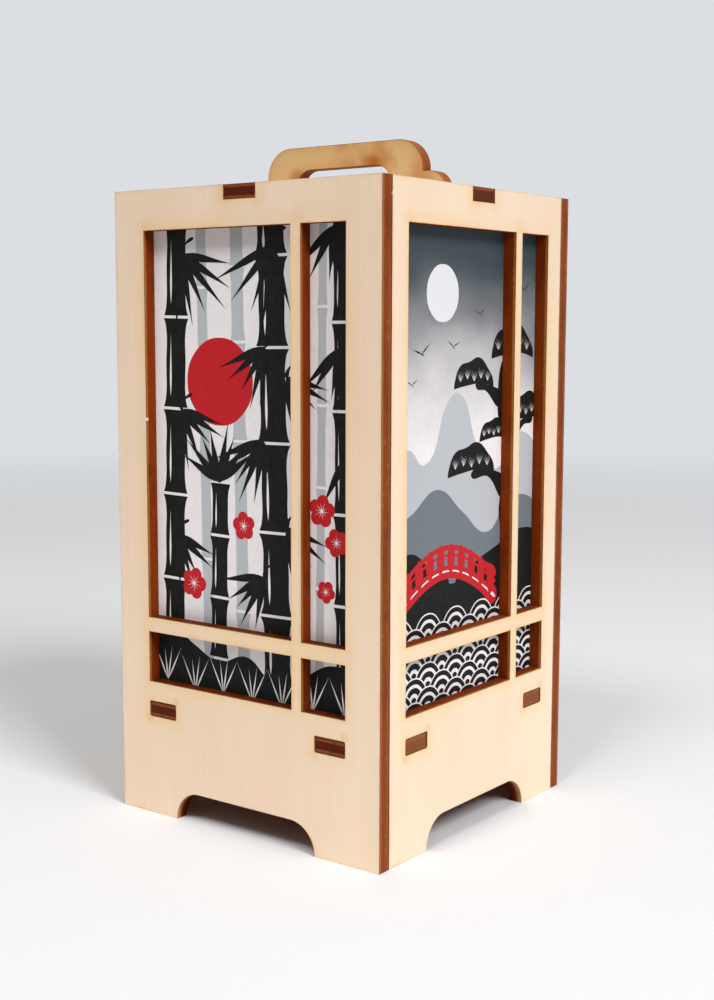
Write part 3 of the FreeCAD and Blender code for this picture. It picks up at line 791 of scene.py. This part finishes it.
def stalk(foot, head, width, joints, tone="ink", slit="white"):
    # a bamboo stalk: flared lengths with a clear joint between them and a light slit down each
    foot, head = Vector(foot), Vector(head)
    shapes = []
    for low, high in zip(joints, joints[1:]):
        start, end = foot.lerp(head, low), foot.lerp(head, high)
        along = (end - start).normalized()
        start, end = start + along * 0.45, end - along * 0.45
        side = Vector((-along.y, along.x)) * width / 2
        length = (end - start).length
        knots = []
        for turn in (1, -1):
            row = [(start + side * turn * 1.16, "corner"), (start + along * 2.2 + side * turn, "smooth"),
                   (start + along * length / 2 + side * turn * 0.94, "smooth"),
                   (end - along * 2.2 + side * turn, "smooth"), (end + side * turn * 1.2, "corner")]
            knots += [(*point, kind) for point, kind in (row if turn > 0 else row[::-1])]
        shapes.append((tone, knots))
        if slit:
            angle = math.degrees(math.atan2(along.y, along.x))
            spot = start + along * length * 0.12 + side * 0.5
            shapes += leaf(slit, *spot, angle, length * 0.7, width * 0.09)
    return shapes


def spray(x, z, angles, length, width, tone="ink"):
    shapes = []
    for step, angle in enumerate(angles):
        shapes += leaf(tone, x, z, angle, length * (1 - 0.09 * (step % 3)), width)
    return shapes


def blossom(x, z, radius, turn=0, tone="vermilion"):
    shapes = []
    for step in range(5):
        angle = math.radians(turn + 72 * step)
        petal = (x + radius * 0.56 * math.cos(angle), z + radius * 0.56 * math.sin(angle))
        shapes += disc(tone, *petal, radius * 0.46)
    shapes += disc(tone, x, z, radius * 0.4)
    for step in range(10):
        length = radius * (0.62 if step % 2 else 0.5)
        shapes += leaf("white", x, z, turn + 36 * (step + 0.5), length, radius * 0.035)
    return shapes + disc("white", x, z, radius * 0.12)


def hill(tone, ridge, floor):
    points = [(x, z, "smooth") for x, z in ridge]
    return [(tone, [(ridge[0][0], floor, "corner"), *points, (ridge[-1][0], floor, "corner")])]


def waves(left, right, bottom, top, radius):
    # overlapping round scales in rows, the lowest row in front
    rings = ((1, "white"), (0.94, "ink"), (0.74, "white"), (0.6, "ink"), (0.36, "white"), (0.2, "ink"))
    shapes = []
    rows = int((top - bottom) / (radius * 0.5)) + 1
    for row in range(rows, -1, -1):
        x = left + (radius if row % 2 else 0)
        while x <= right:
            for share, tone in rings:
                shapes += disc(tone, x, bottom + row * radius * 0.5, radius * share)
            x += 2 * radius
    return shapes


def pinePad(x, z, width, height):
    bumps = 6
    knots = [(x - width / 2, z, "corner")]
    for step in range(bumps):
        angle = math.pi * (1 - (step + 0.5) / bumps)
        swell = 1 + (0.16 if step % 2 else 0)
        knots.append((x + width / 2 * math.cos(angle), z + height * math.sin(angle) * swell, "smooth"))
    knots += [(x + width / 2, z, "corner"), (x + width * 0.2, z + height * 0.16, "smooth"),
              (x - width * 0.22, z + height * 0.1, "smooth")]
    shapes = [("ink", knots)]
    for step in range(5):
        middle = x + width * (step - 2) * 0.17
        foot = z + height * (0.26 + 0.08 * (step % 2))
        shapes += spray(middle, foot, (55, 75, 92, 108, 126), height * 0.42, 0.16, "white")
    return shapes


def bird(x, z, span, tilt):
    return (leaf("ink", x, z, 28 + tilt, span * 0.55, span * 0.05)
            + leaf("ink", x, z, 156 + tilt, span * 0.5, span * 0.05)
            + leaf("ink", x - span * 0.05, z + span * 0.01, -24 + tilt, span * 0.22, span * 0.045))


def archedBridge(left, right, foot, rise):
    middle, half = (left + right) / 2, (right - left) / 2

    def lift(x):
        return foot + rise * math.cos((x - middle) / half * math.pi / 2)

    steps = [left + (right - left) * step / 8 for step in range(9)]
    shapes = []
    for x in steps[1:-1]:
        shapes += stroke("ink", [(x, foot - 9), (x, lift(x))], 1.5, 1.5)
    shapes += stroke("vermilion", [(x, lift(x)) for x in steps], 4.2, 4.2)
    shapes += stroke("white", [(x, lift(x) + 0.3) for x in steps], 0.5, 0.5)
    for x in [left + (right - left) * (step + 0.5) / 10 for step in range(10)]:
        shapes += stroke("vermilion", [(x, lift(x)), (x, lift(x) + 8.6)], 1.5, 1.3)
    for height, width in ((5.2, 0.8), (7.6, 1.7)):
        shapes += stroke("vermilion", [(x, lift(x) + height) for x in steps], width, width)
    return shapes


def reeds(x, z, count, height, spread, draw):
    shapes = []
    for step in range(count):
        angle = 90 + spread * (step / (count - 1) - 0.5) + draw.uniform(-4, 4)
        foot = x + draw.uniform(-3, 3)
        shapes += leaf("ink", foot, z, angle, height * draw.uniform(0.7, 1), height * 0.022)
    return shapes


def twig(x, z, first, count, size, draw):
    angles = [first + 17 * step + draw.uniform(-5, 5) for step in range(count)]
    return (stroke("ink", [(x, z), (x + 1.5, z + 3), (x + 5, z + 5)], 0.9, 0.5)
            + spray(x, z, angles, size, 2.6))


def eachOf(motif, rows, *rest):
    return [shape for row in rows for shape in motif(*row, *rest)]


def frontPrint():
    tufts = ((-36, 44), (-24, 42), (-12, 43), (0, 42), (12, 42), (24, 43), (36, 43))
    bank = [(-44, 58), (-34, 62), (-24, 57), (-14, 53), (-2, 56), (8, 50), (20, 53), (32, 58), (44, 54)]
    return eachOf(stalk, (
        ((-17.5, 40), (-20, 191), 4.4, (0, 0.13, 0.3, 0.5, 0.68, 0.86, 1)),
        ((-3, 40), (-5.5, 191), 5.2, (0, 0.2, 0.38, 0.55, 0.75, 0.9, 1)),
        ((26.5, 40), (28, 191), 3.2, (0, 0.1, 0.27, 0.47, 0.63, 0.82, 1)),
    ), "mist", None) + disc("vermilion", -12.5, 141, 13.5) + eachOf(stalk, (
        ((-33, 40), (-30, 191), 8.8, (0, 0.1, 0.25, 0.43, 0.61, 0.8, 1)),
        ((10.5, 40), (8, 191), 10.8, (0, 0.06, 0.2, 0.37, 0.55, 0.74, 0.92, 1)),
        ((-14, 40), (-12.5, 110), 6.8, (0, 0.2, 0.48, 0.76, 1)),
        ((36, 40), (34.5, 191), 6.2, (0, 0.08, 0.24, 0.42, 0.62, 0.79, 1)),
    )) + eachOf(twig, (
        (-28, 180, 262, 6, 25), (9, 182, 208, 6, 26), (6, 152, 200, 5, 20), (-29, 132, 282, 5, 20),
        (5, 124, 196, 6, 22), (14, 143, 282, 5, 18), (-13, 110, 30, 8, 19), (14, 98, 280, 5, 18),
        (-31, 92, 275, 5, 18), (5, 82, 190, 5, 19), (34, 152, 220, 6, 19), (36, 120, 245, 5, 17),
        (32, 187, 225, 5, 20),
    ), random.Random(5)) + hill("ink", bank, 40) + eachOf(
        spray, tufts, [62, 80, 97, 117], 13, 0.55, "white",
    ) + eachOf(blossom, (
        (27.5, 104, 4.8, 10), (33, 95, 4.2, 40), (-24, 77, 5.0, 0), (-3, 97, 4.4, 25), (29, 80, 3.4, 60),
    ))


def rightPrint():
    return disc("moon", -15, 168, 8.6) + eachOf(hill, (
        ("mist", [(-44, 112), (-33, 122), (-24, 117), (-11, 136), (-6, 138), (6, 120), (17, 113), (30, 124),
                  (44, 115)], 80),
        ("slate", [(-44, 96), (-30, 103), (-17, 109), (-3, 101), (12, 93), (26, 103), (44, 97)], 74),
        ("ink", [(-44, 84), (-32, 91), (-20, 85), (-8, 79), (4, 84), (18, 88), (32, 92), (44, 88)], 60),
    )) + eachOf(stroke, (
        ("ink", [(33, 62), (30, 84), (22, 98), (25, 116), (19, 133), (23, 149)], 9, 2.6),
        ("ink", [(24, 104), (12, 112), (2, 112)], 3.6, 1.4),
        ("ink", [(24, 120), (33, 127), (39, 128)], 3, 1.4),
        ("ink", [(20, 134), (10, 139), (4, 140)], 2.8, 1.2),
    )) + eachOf(pinePad, (
        (2, 112, 27, 9), (35, 127, 22, 9), (3, 139, 23, 8.5), (26, 148, 26, 10), (15, 122, 17, 6.5),
    )) + archedBridge(-41, 17, 71, 12) + waves(-44, 46, 38, 62, 7.5) + eachOf(bird, (
        (-26, 150, 11, 8), (-9, 152, 8.5, -6), (-31, 141, 7.5, 0), (33, 170, 8.5, 10), (6, 162, 6.5, 4),
    ))


def backPrint():
    trunk = [(-44, 66), (-30, 84), (-20, 92), (-12, 110), (2, 124), (8, 142), (22, 158), (30, 180)]
    berries = ((-35, 118), (-33, 158), (-13, 172), (12, 152), (28, 104), (8, 99), (31, 122), (34, 161),
               (-22, 122))
    return disc("mist", 12, 150, 19) + stroke("ink", trunk, 11, 1.6) + eachOf(stroke, (
        ("ink", [(-21, 92), (-2, 94), (14, 104), (34, 104)], 4.6),
        ("ink", [(-12, 110), (-22, 128), (-24, 150), (-32, 172)], 4),
        ("ink", [(6, 136), (-4, 150), (-6, 168), (-12, 184)], 3),
        ("ink", [(14, 104), (24, 118), (36, 126)], 2.4),
        ("ink", [(-34, 80), (-38, 100), (-36, 118)], 3), ("ink", [(22, 158), (34, 160), (40, 168)], 1.8),
    ), 0.7) + eachOf(blossom, (
        (-24, 140, 6, 10), (-31, 168, 4.6, 30), (-5, 162, 5.4, 0), (-11, 181, 3.6, 50), (9, 142, 6.2, 20),
        (24, 162, 5.6, 40), (30, 178, 4, 5), (37, 125, 5.4, 15), (16, 105, 6.4, 35), (33, 103, 4.4, 60),
        (-1, 94, 5.4, 12), (-37, 110, 5, 22), (-14, 104, 4.4, 48), (24, 117, 3.6, 8),
    )) + eachOf(disc, [("vermilion", *spot, 1.5) for spot in berries]) + waves(-44, 46, 38, 50, 7.5)


def leftPrint():
    return disc("vermilion", 8, 152, 15) + eachOf(hill, (
        ("mist", [(-44, 104), (-26, 118), (-12, 108), (4, 122), (18, 110), (34, 116), (44, 108)], 70),
        ("slate", [(-44, 86), (-22, 96), (0, 88), (22, 98), (44, 90)], 60),
    )) + eachOf(reeds, (
        (-36, 62, 6, 74), (-25, 62, 4, 52), (36, 62, 6, 68),
    ), 38, random.Random(9)) + waves(-44, 46, 38, 66, 9) + eachOf(bird, (
        (-14, 168, 15, 6), (-24, 154, 11, -4), (-4, 178, 10, 10), (26, 172, 9, 0),
    ))


def inkLevels(shapes):
    # how many films lie under each shape, by the boxes round their knots
    boxes, levels = [], []
    for tone, knots in shapes:
        spots = [spot for knot in knots for spot in ([knot[:2]] if isinstance(knot[-1], str) else knot)]
        box = [pick(spot[axis] for spot in spots) for axis in (0, 1) for pick in (min, max)]
        under = [level + 1 for other, level in zip(boxes, levels)
                 if box[0] < other[1] and other[0] < box[1] and box[2] < other[3] and other[2] < box[3]]
        boxes.append(box)
        levels.append(max(under, default=0))
    return levels


def addFilm(tone, knots, lift):
    curve = bpy.data.curves.new("ink", "CURVE")
    curve.dimensions = "2D"
    curve.fill_mode = "BOTH"
    curve.resolution_u = 8
    spline = curve.splines.new("BEZIER")
    spline.bezier_points.add(len(knots) - 1)
    spline.use_cyclic_u = True
    for point, knot in zip(spline.bezier_points, knots):
        if isinstance(knot[-1], str):
            point.handle_left_type = point.handle_right_type = "AUTO" if knot[-1] == "smooth" else "VECTOR"
            point.co = (knot[0] * mm, knot[1] * mm, 0)
        else:
            point.handle_left_type = point.handle_right_type = "FREE"
            point.co, point.handle_left, point.handle_right = ((x * mm, z * mm, 0) for x, z in knot)
    curve.materials.append(toneFinish[tone])
    film = bpy.data.objects.new("ink", curve)
    film.location.z = lift
    scene.collection.objects.link(film)
    return film


def addInk(name, shapes, look):
    levels = inkLevels(shapes)
    step = min(paperLook["inkDepth"], (paperLook["inkRoom"] - 2 * paperLook["inkDepth"]) / max(levels))
    films = [addFilm(*shape, level * step) for shape, level in zip(shapes, levels)]
    makeActive(*films)
    bpy.ops.object.convert(target="MESH")
    bpy.ops.object.join()
    printed = bpy.context.object
    printed.name = name.replace("paper", "print")
    applyPlace(printed)
    low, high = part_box(name)
    edgeX = paperLook["flat"][0] / 2 - paperLook["margin"]
    edgeLow, edgeHigh = low.z + paperLook["margin"], high.z - paperLook["margin"]
    editAll(printed)
    bpy.ops.mesh.remove_doubles(threshold=paperLook["inkWeld"])
    for point, normal in (((edgeX, 0, 0), (1, 0, 0)), ((-edgeX, 0, 0), (-1, 0, 0)),
                          ((0, edgeHigh, 0), (0, 1, 0)), ((0, edgeLow, 0), (0, -1, 0))):
        bpy.ops.mesh.select_all(action="SELECT")
        bpy.ops.mesh.bisect(plane_co=point, plane_no=normal, clear_outer=True)
    deselectAll()
    addModifier(printed, "SOLIDIFY", thickness=paperLook["inkDepth"], offset=-1)
    standUp(printed, look["turn"], paperOuter(name) - paperLook["inkRoom"] + paperLook["inkDepth"], 0)
    return printed


def standUp(piece, turn, outward, height):
    # from lying on the floor to its place behind a side
    angle = math.radians(turn)
    piece.rotation_euler = (math.pi / 2, 0, angle)
    piece.location = (math.sin(angle) * outward, -math.cos(angle) * outward, height)
    applyPlace(piece)


def paperOuter(name):
    low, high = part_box(name)
    axis = 1 if name in ("front_paper", "back_paper") else 0
    return max(abs(low[axis]), abs(high[axis]))


def addPaper(name, look, shapes):
    low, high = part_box(name)
    deselectAll()
    across, up = paperLook["grid"]
    bpy.ops.mesh.primitive_grid_add(x_subdivisions=across, y_subdivisions=up, size=1)
    paper = bpy.context.object
    paper.name = name + "_sheet"
    paper.scale = (*paperLook["flat"], 1)
    applyPlace(paper)
    paper.data.materials.append(paperFinish(name + "Finish", name == "right_paper"))
    paper.data.materials.append(toneFinish["white"])    # the plain back
    addModifier(paper, "SOLIDIFY", thickness=paperLook["thickness"], offset=-1, material_offset=1)
    standUp(paper, look["turn"], paperOuter(name) - paperLook["inkRoom"], (low.z + high.z) / 2)
    printed = addInk(name, shapes, look)
    for piece in (paper, printed):
        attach(piece, look["body"])
    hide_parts(name)


toneFinish = {tone: inkFinish(tone + "Ink", color) for tone, color in paperLook["tones"].items()}
toneFinish["white"] = paperFinish("bareWhite", False)
prints = {"front_paper": frontPrint, "right_paper": rightPrint,
          "back_paper": backPrint, "left_paper": leftPrint}
for name, look in papers.items():
    addPaper(name, look, prints[name]())
    print(name, "printed")

# Battery light: moulded casing, flame, resin lamp and plated metal, each a softened copy of its solid
waxIvory = {
    "deep": srgb(239, 229, 208), "pale": srgb(244, 236, 218),
    "roughness": 0.42, "specular": 0.4, "pebble": 0.1,
}
knobBlack = {
    "deep": srgb(30, 30, 32), "pale": srgb(46, 46, 48), "roughness": 0.5, "specular": 0.4, "pebble": 0.3,
}
flameAmber = {
    "foot": srgb(255, 240, 214), "tip": srgb(255, 196, 112), "roughness": 0.32, "specular": 0.5,
    "clear": 0.45, "bend": 1.46,
}
ledWarm = {
    "foot": srgb(255, 246, 224), "tip": srgb(255, 232, 176), "roughness": 0.1, "specular": 0.5,
    "clear": 0.8, "bend": 1.52,
}
tinPlate = {
    "bright": srgb(206, 206, 204), "dull": srgb(160, 160, 158), "roughness": 0.3, "brush": (1, 1, 0.05),
}
nickelStrip = {
    "bright": srgb(212, 206, 192), "dull": srgb(172, 164, 146), "roughness": 0.28, "brush": (0.05, 1, 1),
}
cellCan = {
    "bright": srgb(214, 214, 216), "dull": srgb(172, 172, 176), "roughness": 0.22, "brush": (0.08, 1, 1),
}
zincScrew = {
    "bright": srgb(196, 198, 202), "dull": srgb(176, 178, 183), "roughness": 0.35, "brush": (1, 1, 1),
}
lightLook = {
    "bevelAbove": 35, "smoothBelow": 40, "cloudScale": 160, "glossScale": 500, "pebbleScale": 4200,
    "pebbleDepth": 0.03 * mm, "tintWander": 2 * mm, "brushScale": 3000, "brushBump": (0.1, 0.01 * mm),
    "metalSpecular": 0.5,
}
smallCuts = {    # up into a lower face, from its middle: across, along, width, length, depth
    "door_screw": ((0, 0, 2.0, 0.42, 0.4), (0, 0, 0.42, 2.0, 0.4)),
    "switch_slider": ((0, -0.8, 2.2, 0.36, 0.3), (0, 0, 2.2, 0.36, 0.3), (0, 0.8, 2.2, 0.36, 0.3)),
}
lightPieces = {    # finish, its look, material slot and how wide its edges are softened
    "light_shell": ("plastic", waxIvory, "wax_plastic", 0.3),
    "light_floor": ("plastic", waxIvory, "wax_plastic", 0.1),
    "battery_door": ("plastic", waxIvory, "wax_plastic", 0.12),
    "switch_slider": ("plastic", knobBlack, "switch_plastic", 0.2),
    "flame_lens": ("clear", flameAmber, "flame_plastic", 0.15),
    "led": ("clear", ledWarm, "led_resin", 0.2),
    "led_leads": ("metal", tinPlate, "tinned_wire", 0.04),
    "top_contact": ("metal", nickelStrip, "contact_strip", 0.06),
    "side_contact": ("metal", nickelStrip, "contact_strip", 0.06),
    "coin_cell": ("metal", cellCan, "cell_steel", 0.15),
    "door_screw": ("metal", zincScrew, "screw_steel", 0.1),
}


def makeMouldGroup():
    tree, given, out = newGroup("mouldedSkin", "Vector", "Cloud Gloss Height")
    cloud = noiseNode(given["Vector"], lightLook["cloudScale"], 3.0)
    feed(out["Cloud"], rangeNode(cloud, 0.3, 0.7))
    feed(out["Gloss"], noiseNode(given["Vector"], lightLook["glossScale"]))
    feed(out["Height"], noiseNode(given["Vector"], lightLook["pebbleScale"]))
    return tree


def makeBrushGroup():
    tree, given, out = newGroup("brushedPlate", "Vector Stretch", "Streak Height")
    streak = noiseNode(stretched(given["Vector"], given["Stretch"]), lightLook["brushScale"], 3.0)
    feed(out["Streak"], rangeNode(streak, 0.3, 0.7))
    feed(out["Height"], streak)
    return tree


mouldGroup, brushGroup = makeMouldGroup(), makeBrushGroup()


def glossAround(shader, vary, middle):
    feed(shader.inputs["Roughness"], rangeNode(vary, 0.0, 1.0, middle * 0.8, middle * 1.25))


def plasticFinish(nodeName, look):
    material, tree, shader = newMaterial(nodeName + "Finish", look["roughness"], look["specular"])
    skin = useGroup(tree, mouldGroup, Vector=objectPlace(tree))
    paint(shader, mixNode(skin["Cloud"], look["deep"], look["pale"]))
    glossAround(shader, skin["Gloss"], look["roughness"])
    bumpInto(shader, skin["Height"], look["pebble"], lightLook["pebbleDepth"])
    return material


def clearFinish(nodeName, look):
    # tinted from its foot to its tip
    low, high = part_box(nodeName)
    material, tree, shader = newMaterial(nodeName + "Clear", look["roughness"], look["specular"])
    shader.inputs["Transmission Weight"].default_value = look["clear"]
    shader.inputs["IOR"].default_value = look["bend"]
    place = objectPlace(tree)
    skin = useGroup(tree, mouldGroup, Vector=place)
    height = mathNode("MULTIPLY_ADD", skin["Cloud"], lightLook["tintWander"], axesOf(place)["Z"])
    paint(shader, mixNode(rangeNode(height, low.z, high.z), look["foot"], look["tip"]))
    glossAround(shader, skin["Gloss"], look["roughness"])
    return material


def metalFinish(nodeName, look):
    material, tree, shader = newMaterial(nodeName + "Finish", look["roughness"], lightLook["metalSpecular"])
    shader.inputs["Metallic"].default_value = 1
    plate = useGroup(tree, brushGroup, Vector=objectPlace(tree), Stretch=look["brush"])
    paint(shader, mixNode(plate["Streak"], look["dull"], look["bright"]))
    glossAround(shader, plate["Streak"], look["roughness"])
    bumpInto(shader, plate["Height"], *lightLook["brushBump"])
    return material


finishes = {"plastic": plasticFinish, "clear": clearFinish, "metal": metalFinish}


def carve(piece, nodeName):
    low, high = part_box(nodeName)
    middle = (low + high) / 2
    for across, along, width, length, depth in smallCuts.get(nodeName, ()):
        deselectAll()
        spot = (middle.x + across * mm, middle.y + along * mm, low.z)
        bpy.ops.mesh.primitive_cube_add(size=1, location=spot)
        cutter = bpy.context.object
        cutter.scale = (width * mm, length * mm, 2 * depth * mm)
        applyPlace(cutter)
        addModifier(piece, "BOOLEAN", operation="DIFFERENCE", solver="EXACT", object=cutter)
        bpy.data.objects.remove(cutter)


def dressLight(nodeName, finish, look, slot, softEdge):
    piece = copyNode(nodeName, nodeName + "_dressed")
    soften(piece, softEdge * mm, lightLook["bevelAbove"])
    carve(piece, nodeName)
    piece.data.materials.clear()
    piece.data.materials.append(finishes[finish](nodeName, look))
    smoothBelow(piece, lightLook["smoothBelow"])
    addModifier(piece, "WEIGHTED_NORMAL", keep_sharp=True, weight=60)
    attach(piece, "switch" if nodeName == "switch_slider" else "case")
    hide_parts(nodeName)


for nodeName, look in lightPieces.items():
    dressLight(nodeName, *look)
print("battery light dressed")
